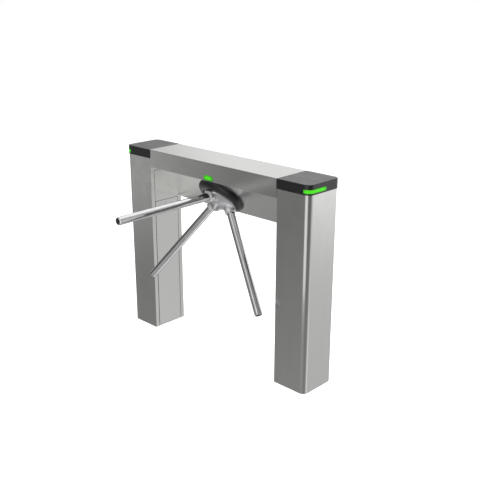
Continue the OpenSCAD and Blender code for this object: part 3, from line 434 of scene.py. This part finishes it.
def turned(outline, way, around):
    """Points of an outline of (radius, distance from the apex) pairs, turned round an arm's axis."""
    side = np.cross(way, (0.0, 0.0, 1.0))
    side /= np.linalg.norm(side)
    spin = np.radians(np.arange(around) * 360.0 / around)[:, None]
    ringed = np.cos(spin) * side + np.sin(spin) * np.cross(way, side)
    return APEX + outline[:, None, :1] * ringed[None] + outline[:, None, 1:] * way


def hub_collars(around=96):
    """Machined collars round the arms' sockets: sleeves that hug the tapered roots, with a bevelled
    mouth. Their metal colour is painted lighter than the casting's, as a painted highlight."""
    outline = np.array([(19.1, 60.0), (27.9, 60.0), (29.7, 62.0), (28.6, 70.0), (27.4, 80.0),
                        (26.8, 88.0), (26.8, 110.6), (26.3, 111.8), (25.0, 113.2), (24.0, 113.9),
                        (23.2, 114.0), (20.6, 114.0), (19.1, 112.6)])
    size = len(outline) * around
    points = np.concatenate([turned(outline, way, around).reshape(-1, 3) for way in ARM_WAYS])
    faces = [strip_faces(len(outline), around, i * size, wrap_rows=True) for i in range(len(ARM_WAYS))]
    new_piece("hub_collars", from_rotor(points), faces, "rotor", "collar_highlight_painted_metal")


def arm_plugs(around=64, foot=-0.6, crown=1.7):
    """Black plugs in the ends of the arms' caps: shallow domes 27.2 mm across, turned round each arm.
    foot and crown are how far their inner and outer faces stand past the arm's tip."""
    dome = np.array([(13.6, foot), (13.6, 0.3), (12.9, 0.8), (9.0, 1.3), (4.5, 1.6)])
    outline = dome + (0.0, ARM_TIP)
    points, faces = [], []
    for i, way in enumerate(ARM_WAYS):
        first = i * (len(outline) * around + 2)
        outer_tip = first + len(outline) * around
        points += [turned(outline, way, around).reshape(-1, 3),
                   APEX + np.array([[ARM_TIP + crown], [ARM_TIP + foot]]) * way]
        faces += [strip_faces(len(outline), around, first), fan(around, outer_tip - around, outer_tip),
                  fan(around, first, outer_tip + 1)[:, ::-1]]
    new_piece("arm_plugs", from_rotor(np.concatenate(points)), faces, "rotor", "black_abs")


def reader_mark(cap, radii=(12.0, 22.0, 32.0), wide=3.6, proud=0.35, half=50.0, forward=18.0):
    """Three arcs in low relief that show where a card is held, moulded into the top of a cap. Each is a
    ribbon's section turned half degrees each way round a point forward of the cap's middle. It is flat
    on top and bevelled, has closed ends, and its foot is 0.5 mm in the cap."""
    low, high = (np.array(corner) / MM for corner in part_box(cap))
    centre_x, centre_y = 0.5 * (low[0] + high[0]), 0.5 * (low[1] + high[1]) - forward
    edge, bevel_in, bevel_down, foot = 0.5 * wide, 0.3, 0.2, -0.5
    section = np.array([(-edge, proud - bevel_down), (bevel_in - edge, proud), (edge - bevel_in, proud),
                        (edge, proud - bevel_down), (edge, foot), (-edge, foot)])
    angle = np.radians(np.linspace(90.0 - half, 90.0 + half, 33))[:, None]
    count = len(section)
    points, faces = [], []
    for i, radius in enumerate(radii):
        reach, height = radius + section[None, :, 0], high[2] + section[None, :, 1]
        grid = np.broadcast_arrays(centre_x + reach * np.cos(angle), centre_y + reach * np.sin(angle),
                                   height)
        points.append(np.stack(grid, axis=-1).reshape(-1, 3))
        first = i * len(angle) * count
        start = first + np.arange(count)[None, :]
        faces += [strip_faces(len(angle), count, first), start[:, ::-1], start + (len(angle) - 1) * count]
    new_piece("reader_mark_" + cap, MM * np.concatenate(points), faces, "frame",
              "black_abs_mark", sharp=25.0)


hub_casting()
hub_collars()
arm_plugs()
for cap_name in ("cap_left", "cap_right"):
    reader_mark(cap_name)


# Studio

# Brightness of the studio by azimuth, in degrees from the front (-Y) towards +X, at six heights. The
# room is dim in front and to the right, black to the camera's left, and bright behind the object.
CEILING = [(-180, 1.45), (-140, 1.2), (-90, 0.9), (-45, 0.55), (-16, 0.5), (-6, 1.15), (4, 1.15),
           (15, 0.4), (70, 0.34), (110, 0.3), (135, 0.6), (152, 1.35)]
OVERHEAD = [(-180, 1.2), (-145, 1.15), (-134, 1.15), (-129, 0.82), (-112, 0.8), (-95, 0.8), (-60, 0.4),
            (-25, 0.6), (0, 0.7), (45, 0.5), (90, 0.5), (130, 0.6), (150, 0.9), (165, 1.0)]
LEVEL = [(-180, 1.3), (-150, 1.1), (-134, 1.1), (-129, 0.82), (-125, 0.55), (-118, 0.7), (-108, 0.75),
         (-95, 0.5), (-80, 0.24), (-66, 0.06), (-42, 0.06), (-25, 0.3), (0, 0.5), (45, 0.3), (102, 0.3),
         (128, 0.7), (150, 0.9), (165, 1.0)]
HORIZON = [(-180, 0.9), (-135, 0.75), (-100, 0.6), (-84, 0.4), (-72, 0.1), (-62, 0.12), (-58, 0.95),
           (-50, 0.68), (-45, 0.24), (-38, 0.22), (-27, 0.35), (-10, 0.5), (20, 0.45), (43, 0.18),
           (102, 0.2), (111, 1.0), (122, 0.8), (131, 0.75), (139, 1.6), (152, 1.75)]
LOW = [(-180, 0.7), (-135, 0.55), (-112, 0.5), (-105, 0.65), (-85, 0.45), (-58, 0.3), (-51, 0.27),
       (-42, 0.28), (-27, 0.35), (0, 0.48), (31, 0.4), (43, 0.24), (100, 0.3), (107, 1.2), (128, 0.9),
       (141, 0.88)]
FLOOR = [(-180, 0.55), (-154, 0.62), (-122, 0.28), (-112, 0.37), (-107, 0.55), (-100, 0.7), (-85, 0.7),
         (-60, 0.6), (-30, 0.6), (0, 0.46), (25, 0.44), (50, 0.48), (80, 0.6), (96, 1.5), (108, 1.95),
         (122, 1.4), (134, 0.75), (150, 0.6)]

# The rings from the lowest up, each with its degrees above the horizon.
STUDIO = [(-46.0, FLOOR), (-20.0, LOW), (-14.0, HORIZON), (6.0, LEVEL), (20.0, OVERHEAD), (44.0, CEILING)]
STUDIO_GAIN = 2.0


def azimuth_ramp(tree, azimuth, stops):
    """Brightness along a closed circle of azimuths, straight between the stops. A ramp's colours stay
    under 1, so they are divided by the gain, which the room's strength gives back."""
    node = add(tree, "ShaderNodeValToRGB", {"Fac": azimuth})
    points = node.color_ramp.elements
    for i, (angle, bright) in enumerate(stops + [(180, stops[0][1])]):
        place = angle / 360.0 + 0.5
        point = points[i] if i < 2 else points.new(place)
        point.position = place
        point.color = (bright / STUDIO_GAIN,) * 3 + (1.0,)
    return node.outputs["Color"]


def make_world():
    """White for the camera; the metal sees a studio whose brightness goes by direction."""
    world = bpy.data.worlds.new("studio")
    scene.world = world
    world.use_nodes = True
    tree = world.node_tree
    tree.nodes.clear()
    direction = add(tree, "ShaderNodeTexCoord").outputs["Generated"]
    way = add(tree, "ShaderNodeSeparateXYZ", {"Vector": direction}).outputs
    front = add(tree, "ShaderNodeMath", {0: way["Y"]}, operation="MULTIPLY")
    front.inputs[1].default_value = -1.0
    turn = add(tree, "ShaderNodeMath", {0: way["X"], 1: front.outputs["Value"]}, operation="ARCTAN2")
    azimuth = spread(tree, turn.outputs["Value"], 0.0, 1.0, -math.pi, math.pi)
    rise = add(tree, "ShaderNodeMath", {0: way["Z"]}, operation="ARCSINE").outputs["Value"]
    light = azimuth_ramp(tree, azimuth, STUDIO[0][1])
    for (below, _), (above, stops) in zip(STUDIO, STUDIO[1:]):
        share = spread(tree, rise, 0.0, 1.0, math.radians(below), math.radians(above))
        light = mixed(tree, share, light, azimuth_ramp(tree, azimuth, stops))
    rays = add(tree, "ShaderNodeLightPath")
    plain = add(tree, "ShaderNodeBackground", Color=(1.0, 1.0, 1.0, 1.0), Strength=1.0)
    room = add(tree, "ShaderNodeBackground", {"Color": light}, Strength=STUDIO_GAIN)
    both = add(tree, "ShaderNodeMixShader", {
        0: rays.outputs["Is Camera Ray"], 1: room.outputs["Background"], 2: plain.outputs["Background"]})
    add(tree, "ShaderNodeOutputWorld", {"Surface": both.outputs["Shader"]})


def floor_material():
    """Pale matt sweep, lit until it is all but white, so that only the contact shadows show."""
    material, tree = new_material("pale_studio_floor")
    matt = add(tree, "ShaderNodeBsdfDiffuse", Color=(0.9, 0.9, 0.9, 1.0))
    lift = add(tree, "ShaderNodeEmission", Color=(1.0, 1.0, 1.0, 1.0), Strength=0.42)
    both = add(tree, "ShaderNodeAddShader", {0: matt.outputs["BSDF"], 1: lift.outputs["Emission"]})
    add(tree, "ShaderNodeOutputMaterial", {"Surface": both.outputs["Shader"]})
    return material


def make_floor(half=60.0):
    """A flat square on z = 0. The metal doesn't mirror it, but the studio's own floor part."""
    mesh = bpy.data.meshes.new("studio_floor")
    corners = [(-half, -half, 0.0), (half, -half, 0.0), (half, half, 0.0), (-half, half, 0.0)]
    mesh.from_pydata(corners, [], [(0, 1, 2, 3)])
    floor = bpy.data.objects.new("studio_floor", mesh)
    scene.collection.objects.link(floor)
    mesh.materials.append(floor_material())
    floor.visible_glossy = False


def key_card(left=0.17, right=1.27, low=0.0, high=1.3, y=-1.2, bright=1.25):
    """Lit white card before the right post, which shows as a bright line down the round corner."""
    material, tree = new_material("white_lit_card")
    glow = add(tree, "ShaderNodeEmission", Color=(1.0, 1.0, 1.0, 1.0), Strength=bright)
    add(tree, "ShaderNodeOutputMaterial", {"Surface": glow.outputs["Emission"]})
    mesh = bpy.data.meshes.new("key_card")
    corners = [(left, y, low), (right, y, low), (right, y, high), (left, y, high)]
    mesh.from_pydata(corners, [], [(0, 3, 2, 1)])
    mesh.materials.append(material)
    card = bpy.data.objects.new("key_card", mesh)
    scene.collection.objects.link(card)
    card.visible_camera = False
    card.visible_shadow = False


def looking_along(back):
    """Rotation whose local Z points along back, with local X level."""
    z = back / np.linalg.norm(back)
    x = np.cross((0.0, 0.0, 1.0), z)
    x /= np.linalg.norm(x)
    return Matrix(np.column_stack((x, np.cross(z, x), z)).tolist())


def area_light(name, place, target, size, power):
    """A square soft box at place that faces target. The metal doesn't mirror it."""
    data = bpy.data.lights.new(name, "AREA")
    data.shape = "SQUARE"
    data.size = size
    data.energy = power
    light = bpy.data.objects.new(name, data)
    back = np.array(place) - np.array(target)
    light.matrix_world = Matrix.Translation(place) @ looking_along(back).to_4x4()
    light.visible_glossy = False
    scene.collection.objects.link(light)


def make_camera():
    """The photograph's viewpoint, solved from the object's straight edges and corners. back points from
    the object to the camera."""
    data = bpy.data.cameras.new("camera")
    data.lens = 57.09
    data.sensor_width = 36.0
    data.shift_x = 0.0004
    data.clip_end = 200.0
    camera = bpy.data.objects.new("camera", data)
    back = np.array((0.6622, -0.6778, 0.3195))
    camera.matrix_world = Matrix.Translation((2.5332, -2.4830, 1.7717)) @ looking_along(back).to_4x4()
    scene.collection.objects.link(camera)
    scene.camera = camera


make_floor()
make_world()
key_card()
area_light("overhead", place=(0.0, -0.5, 4.0), target=(0.0, 0.0, 0.0), size=4.0, power=180.0)
make_camera()
scene.view_settings.view_transform = "Standard"
